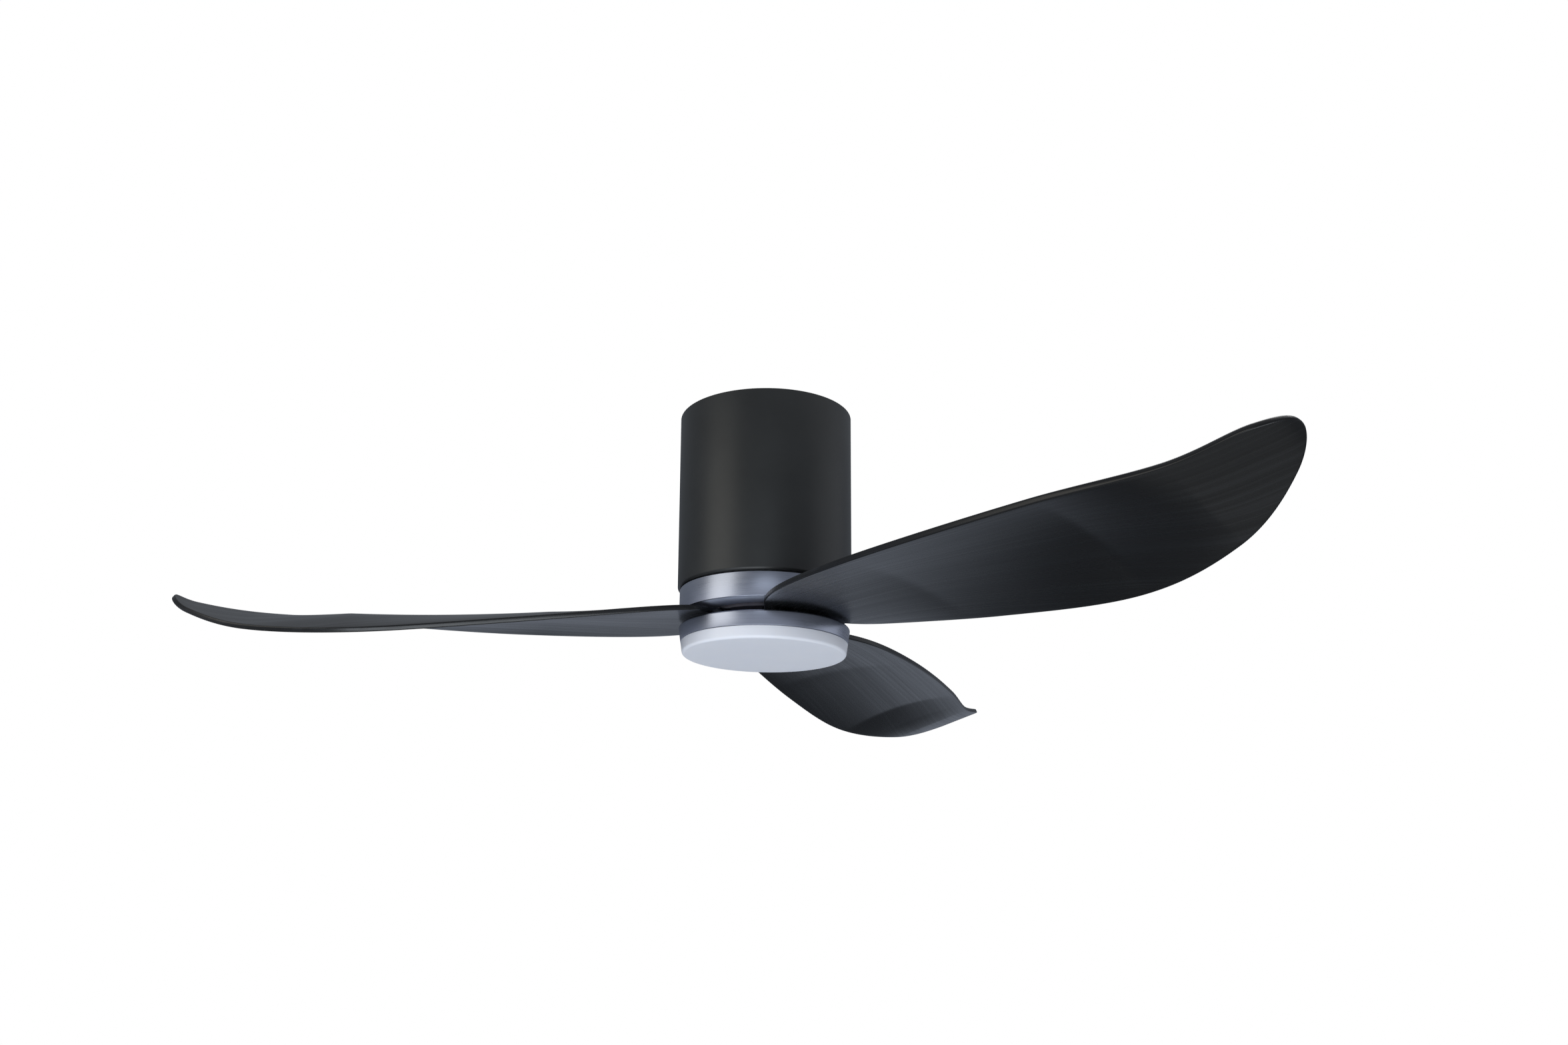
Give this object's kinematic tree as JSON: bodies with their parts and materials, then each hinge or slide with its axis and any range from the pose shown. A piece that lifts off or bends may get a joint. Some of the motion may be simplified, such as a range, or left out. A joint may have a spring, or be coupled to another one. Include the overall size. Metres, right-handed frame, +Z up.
{
  "type": "ceiling fan with light",
  "caption": "Low-profile ceiling fan with a direct-drive motor in a tall cylindrical canopy, curved blades that curl up at the tips, and an opal disc light under the hub.",
  "frame": {"origin": "centre of the ceiling plane, on the motor axis, at the upper face of the ceiling bracket", "axes": "+Z up along the motor axis towards the ceiling; the fan hangs along -Z; the first blade points at 48 degrees clockwise of +X; the canopy screws face +Y"},
  "size_m": [1.0288, 1.1469, 0.2829],
  "materials": {
    "canopy_paint": "matte charcoal powder coat",
    "screw_dark": "black-zinc screws",
    "zinc_steel": "zinc-plated pressed steel",
    "screw_steel": "bright zinc screws",
    "white_plastic": "moulded nylon",
    "black_plastic": "moulded ABS",
    "pcb": "solder mask",
    "components": "capacitors and power parts",
    "shaft_steel": "ground steel",
    "cast_aluminium": "die-cast",
    "lamination": "stacked laminations",
    "insulator": "nylon insulator",
    "copper": "enamelled winding wire",
    "bearing_steel": "polished bearing steel",
    "magnet": "ferrite magnets",
    "silver_ring": "satin blue-grey metal",
    "hub_black": "black coated aluminium casting",
    "pad_rubber": "damping pad",
    "blade_black": "near-black brushed grain, satin",
    "led_white": "white coated aluminium board",
    "led_phosphor": "LED packages",
    "wire_white": "lamp leads",
    "wire_red": "motor leads",
    "opal": "frosted white polycarbonate",
    "cable_steel": "steel rope"
  },
  "bodies": {
    "housing": {"ceiling_bracket": "zinc_steel", "canopy": "canopy_paint", "canopy_screws": "screw_dark", "hanger_posts": "zinc_steel", "post_screws_top": "screw_steel", "post_screws_low": "screw_steel", "carrier_plate": "zinc_steel", "safety_cable": "cable_steel", "terminal_block": "white_plastic", "terminal_screws": "screw_steel", "cord_clamp": "white_plastic", "controller_case": "black_plastic", "controller_lid": "black_plastic", "controller_board": "pcb", "controller_parts": "components", "lamp_driver": "white_plastic", "shaft_collar": "cast_aluminium", "collar_screws": "screw_steel", "collar_pin": "shaft_steel", "motor_shaft": "shaft_steel", "stator_core": "lamination", "stator_insulators": "insulator", "windings": "copper", "upper_bearing_inner": "bearing_steel", "lower_bearing_inner": "bearing_steel", "bearing_circlip": "shaft_steel", "pan_spacer": "zinc_steel", "light_pan": "silver_ring", "pan_washer": "screw_steel", "pan_nut": "zinc_steel", "lamp_leads": "wire_white", "motor_leads": "wire_red", "led_board": "led_white", "led_chips": "led_phosphor", "led_screws": "screw_steel", "led_socket": "white_plastic"},
    "rotor": {"upper_bearing_outer": "bearing_steel", "upper_balls": "bearing_steel", "lower_bearing_outer": "bearing_steel", "lower_balls": "bearing_steel", "rotor_cover": "cast_aluminium", "back_iron": "lamination", "magnets": "magnet", "rotor_base": "cast_aluminium", "housing_screws": "screw_steel", "upper_ring": "silver_ring", "ring_screws": "screw_steel", "neck_cover": "silver_ring", "blade_hub": "hub_black", "hub_screws": "screw_steel", "blade_pads": "pad_rubber", "blade_1": "blade_black", "blade_2": "blade_black", "blade_3": "blade_black", "blade_clamps": "zinc_steel", "blade_screws": "screw_steel"},
    "lamp_cover": {"diffuser": "opal"}
  },
  "joints": [
    {"name": "rotor_spin", "type": "hinge", "parent": "housing", "child": "rotor", "pos_m": [0, 0, -0.2], "axis": [0, 0, 1], "continuous": true},
    {"name": "diffuser_twist", "type": "hinge", "parent": "housing", "child": "lamp_cover", "pos_m": [0, 0, -0.26], "axis": [0, 0, -1], "range_deg": [0, 20]}
  ]
}
